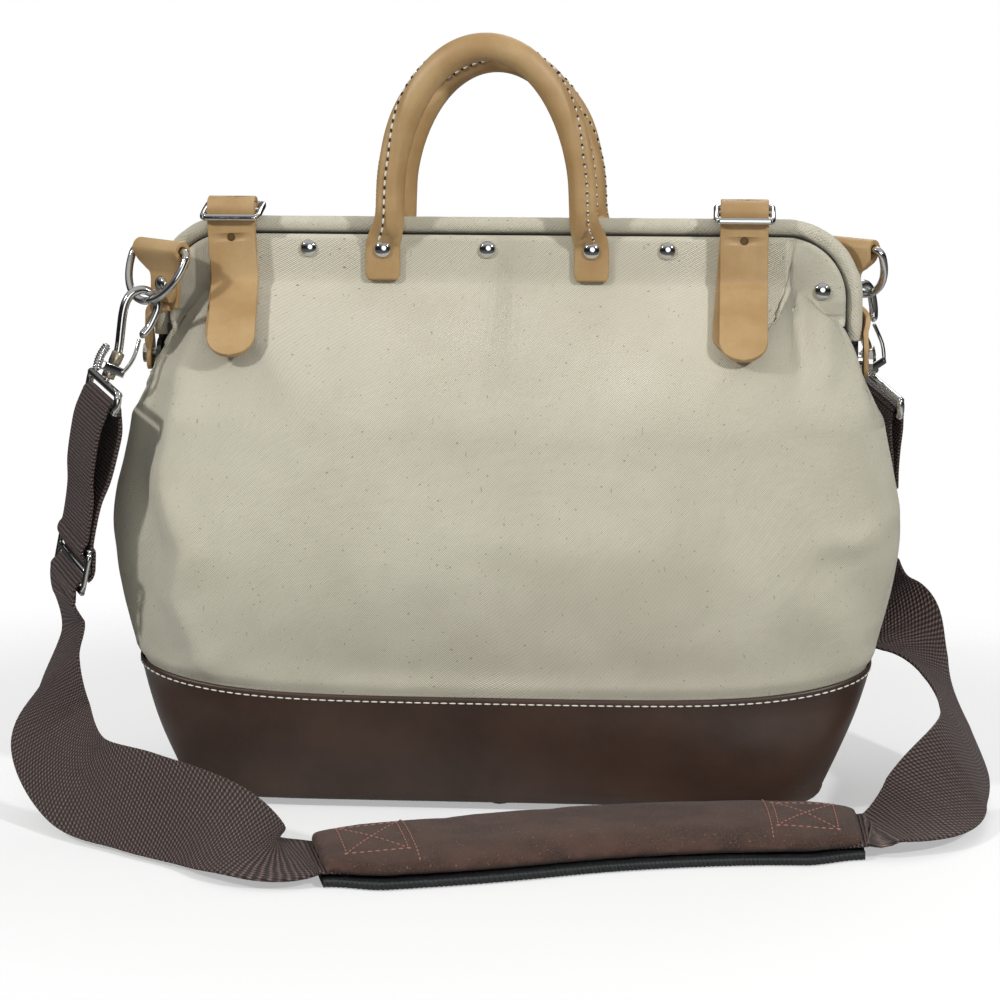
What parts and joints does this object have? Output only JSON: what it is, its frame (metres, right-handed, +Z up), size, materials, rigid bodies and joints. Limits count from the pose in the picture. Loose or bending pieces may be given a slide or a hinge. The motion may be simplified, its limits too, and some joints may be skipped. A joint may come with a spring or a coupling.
{
  "type": "tool bag",
  "caption": "Canvas tool bag with a hinged steel-frame mouth, buckled leather straps, rolled leather handles, a vinyl bottom on rubber feet, and a padded shoulder strap on snap hooks",
  "frame": {"origin": "middle of the bag's footprint on the ground, under the feet, the loose shoulder strap not counted", "axes": "+Z up, +X along the bag's length to the right as seen from its front, the front faces -Y"},
  "size_m": [0.5003, 0.2763, 0.393],
  "materials": {
    "canvas": "natural cotton twill with dark flecks",
    "vinyl": "smooth brown leather-look vinyl, satin",
    "leather": "smooth tan leather with white stitching",
    "nickel": "bright nickel plate",
    "frame_steel": "black painted strip steel",
    "rubber": "matt black",
    "webbing": "ribbed dark brown woven webbing",
    "pad": "brown suede-like cloth with pink-brown stitching",
    "board": "pressed fibre board"
  },
  "bodies": {
    "bag": {"bottom_cover": "vinyl", "bottom_board": "board", "foot_front_left": "rubber", "foot_front_middle": "rubber", "foot_front_right": "rubber", "foot_back_left": "rubber", "foot_back_middle": "rubber", "foot_back_right": "rubber", "canvas_body": "canvas", "shoulder_front": "canvas", "shoulder_back": "canvas", "hinge_rivet_left": "nickel", "hinge_rivet_right": "nickel", "shoulder_pad": "pad", "pad_base": "rubber"},
    "front_jaw": {"front_jaw": "frame_steel", "rail_rivet_front_left": "nickel", "rail_rivet_front_middle": "nickel", "rail_rivet_front_right": "nickel", "corner_rivet_front": "nickel", "ring_tab_left": "leather", "tab_rivet_left": "nickel", "chape_left": "leather", "chape_right": "leather", "chape_rivet_left": "nickel", "chape_rivet_right": "nickel", "handle_rivet_front_left": "nickel", "handle_rivet_front_right": "nickel"},
    "back_jaw": {"back_jaw": "frame_steel", "back_roll": "canvas", "rail_rivet_back_left": "nickel", "rail_rivet_back_middle": "nickel", "rail_rivet_back_right": "nickel", "ring_tab_right": "leather", "tab_rivet_right": "nickel", "billet_rivet_left": "nickel", "billet_rivet_right": "nickel", "handle_rivet_back_left": "nickel", "handle_rivet_back_right": "nickel"},
    "handle_front": {"handle_front": "leather"},
    "handle_back": {"handle_back": "leather"},
    "glide": {"glide": "nickel"},
    "strap_left": {"webbing_left": "webbing"},
    "strap_right": {"webbing_right": "webbing"},
    "d_ring_left": {"d_ring_left": "nickel"},
    "snap_hook_left": {"snap_hook_left": "nickel"},
    "gate_left": {"gate_left": "nickel"},
    "swivel_eye_left": {"swivel_eye_left": "nickel"},
    "buckle_left": {"buckle_left": "nickel"},
    "prong_left": {"prong_left": "nickel"},
    "billet_top_left": {"billet_top_left": "leather"},
    "billet_tail_left": {"billet_tail_left": "leather"},
    "d_ring_right": {"d_ring_right": "nickel"},
    "snap_hook_right": {"snap_hook_right": "nickel"},
    "gate_right": {"gate_right": "nickel"},
    "swivel_eye_right": {"swivel_eye_right": "nickel"},
    "buckle_right": {"buckle_right": "nickel"},
    "prong_right": {"prong_right": "nickel"},
    "billet_top_right": {"billet_top_right": "leather"},
    "billet_tail_right": {"billet_tail_right": "leather"}
  },
  "joints": [
    {"name": "front_jaw_hinge", "type": "hinge", "parent": "bag", "child": "front_jaw", "pos_m": [0, 0, 0.226], "axis": [1, 0, 0], "range_deg": [0, 40], "deforming": ["shoulder_front", "shoulder_back", "chape_left", "chape_right", "webbing_left", "webbing_right"]},
    {"name": "back_jaw_hinge", "type": "hinge", "parent": "bag", "child": "back_jaw", "pos_m": [0, 0, 0.226], "axis": [1, 0, 0], "range_deg": [-40, 0], "deforming": ["shoulder_front", "shoulder_back", "webbing_left", "webbing_right"]},
    {"name": "front_handle_hinge", "type": "hinge", "parent": "front_jaw", "child": "handle_front", "pos_m": [0, -0.0069, 0.2885], "axis": [1, 0, 0], "range_deg": [0, 75], "deforming": ["handle_front"]},
    {"name": "back_handle_hinge", "type": "hinge", "parent": "back_jaw", "child": "handle_back", "pos_m": [0, 0.0069, 0.2885], "axis": [1, 0, 0], "range_deg": [-75, 0], "deforming": ["handle_back"]},
    {"name": "d_ring_hinge_left", "type": "hinge", "parent": "front_jaw", "child": "d_ring_left", "pos_m": [-0.17534, -0.01698, 0.282], "axis": [0.7659, -0.6429, 0], "range_deg": [-2, 2], "deforming": ["webbing_left"]},
    {"name": "hook_hang_left", "type": "hinge", "parent": "d_ring_left", "child": "snap_hook_left", "pos_m": [-0.1826, -0.0258, 0.2566], "axis": [1, 0, 0], "range_deg": [-40, 0], "deforming": ["webbing_left"]},
    {"name": "gate_hinge_left", "type": "hinge", "parent": "snap_hook_left", "child": "gate_left", "pos_m": [-0.19243, -0.03541, 0.22148], "axis": [0.4067, -0.9136, 0], "range_deg": [0, 16], "stiffness_Nm_per_rad": 0.05, "springref_deg": -11.46},
    {"name": "eye_swivel_left", "type": "hinge", "parent": "snap_hook_left", "child": "swivel_eye_left", "pos_m": [-0.20241, -0.03471, 0.21522], "axis": [0.4005, 0.1783, 0.8988], "range_deg": [-4, 4], "deforming": ["webbing_left"]},
    {"name": "d_ring_hinge_right", "type": "hinge", "parent": "back_jaw", "child": "d_ring_right", "pos_m": [0.17534, 0.01698, 0.282], "axis": [0.7659, -0.6429, 0], "range_deg": [-1, 2], "deforming": ["webbing_right"]},
    {"name": "hook_hang_right", "type": "hinge", "parent": "d_ring_right", "child": "snap_hook_right", "pos_m": [0.183, 0.0262, 0.2566], "axis": [1, 0, 0], "range_deg": [0, 40], "deforming": ["webbing_right"]},
    {"name": "gate_hinge_right", "type": "hinge", "parent": "snap_hook_right", "child": "gate_right", "pos_m": [0.19571, 0.03394, 0.22217], "axis": [0.7659, -0.6429, 0], "range_deg": [0, 16], "stiffness_Nm_per_rad": 0.05, "springref_deg": -11.46},
    {"name": "eye_swivel_right", "type": "hinge", "parent": "snap_hook_right", "child": "swivel_eye_right", "pos_m": [0.19058, 0.03514, 0.2116], "axis": [-0.1772, -0.2111, 0.9613], "range_deg": [-4, 4], "deforming": ["webbing_right"]},
    {"name": "buckle_hinge_left", "type": "hinge", "parent": "front_jaw", "child": "buckle_left", "pos_m": [-0.14, -0.005, 0.301], "axis": [1, 0, 0], "range_deg": [0, 40], "deforming": ["chape_left", "billet_top_left", "billet_tail_left"]},
    {"name": "prong_hinge_left", "type": "hinge", "parent": "buckle_left", "child": "prong_left", "pos_m": [-0.14, -0.005, 0.301], "axis": [1, 0, 0], "range_deg": [0, 48], "deforming": ["chape_left", "billet_top_left", "billet_tail_left"]},
    {"name": "billet_hinge_left", "type": "hinge", "parent": "back_jaw", "child": "billet_top_left", "pos_m": [-0.14, 0.0082, 0.2968], "axis": [1, 0, 0], "range_deg": [-204, 0], "deforming": ["chape_left", "billet_top_left", "billet_tail_left"]},
    {"name": "billet_bend_left", "type": "hinge", "parent": "billet_top_left", "child": "billet_tail_left", "pos_m": [-0.14, -0.0095, 0.3065], "axis": [1, 0, 0], "range_deg": [-76, 0], "deforming": ["chape_left", "billet_top_left", "billet_tail_left"]},
    {"name": "buckle_hinge_right", "type": "hinge", "parent": "front_jaw", "child": "buckle_right", "pos_m": [0.122, -0.005, 0.301], "axis": [1, 0, 0], "range_deg": [0, 40], "deforming": ["chape_right", "billet_top_right", "billet_tail_right"]},
    {"name": "prong_hinge_right", "type": "hinge", "parent": "buckle_right", "child": "prong_right", "pos_m": [0.122, -0.005, 0.301], "axis": [1, 0, 0], "range_deg": [0, 48], "deforming": ["chape_right", "billet_top_right", "billet_tail_right"]},
    {"name": "billet_hinge_right", "type": "hinge", "parent": "back_jaw", "child": "billet_top_right", "pos_m": [0.122, 0.0082, 0.2968], "axis": [1, 0, 0], "range_deg": [-204, 0], "deforming": ["chape_right", "billet_top_right", "billet_tail_right"]},
    {"name": "billet_bend_right", "type": "hinge", "parent": "billet_top_right", "child": "billet_tail_right", "pos_m": [0.122, -0.0095, 0.3065], "axis": [1, 0, 0], "range_deg": [-76, 0], "deforming": ["chape_right", "billet_top_right", "billet_tail_right"]},
    {"name": "strap_drop_left", "type": "slide", "parent": "bag", "child": "strap_left", "axis": [0, -0.498, -0.8672], "range_m": [0, 0.0274], "deforming": ["webbing_left"]},
    {"name": "strap_drop_right", "type": "slide", "parent": "bag", "child": "strap_right", "axis": [0, 0.4903, -0.8716], "range_m": [0, 0.0276], "deforming": ["webbing_right"]},
    {"name": "glide_slide", "type": "slide", "parent": "strap_left", "child": "glide", "axis": [0.2, 0.014, 0.9797], "range_m": [-0.002, 0.01], "deforming": ["webbing_left"]}
  ],
  "couplings": [
    {"joint": "back_jaw_hinge", "follows": "front_jaw_hinge", "ratio": -1},
    {"joint": "hook_hang_left", "follows": "front_jaw_hinge", "ratio": -1},
    {"joint": "hook_hang_right", "follows": "front_jaw_hinge", "ratio": 1},
    {"joint": "strap_drop_left", "follows": "front_jaw_hinge", "m_per_rad": 0.0391},
    {"joint": "strap_drop_right", "follows": "front_jaw_hinge", "m_per_rad": 0.0394},
    {"joint": "buckle_hinge_left", "follows": "front_jaw_hinge", "ratio": 1},
    {"joint": "prong_hinge_left", "follows": "front_jaw_hinge", "ratio": 1.2},
    {"joint": "billet_hinge_left", "follows": "front_jaw_hinge", "ratio": -5.1},
    {"joint": "billet_bend_left", "follows": "front_jaw_hinge", "ratio": -1.9},
    {"joint": "buckle_hinge_right", "follows": "front_jaw_hinge", "ratio": 1},
    {"joint": "prong_hinge_right", "follows": "front_jaw_hinge", "ratio": 1.2},
    {"joint": "billet_hinge_right", "follows": "front_jaw_hinge", "ratio": -5.1},
    {"joint": "billet_bend_right", "follows": "front_jaw_hinge", "ratio": -1.9}
  ]
}
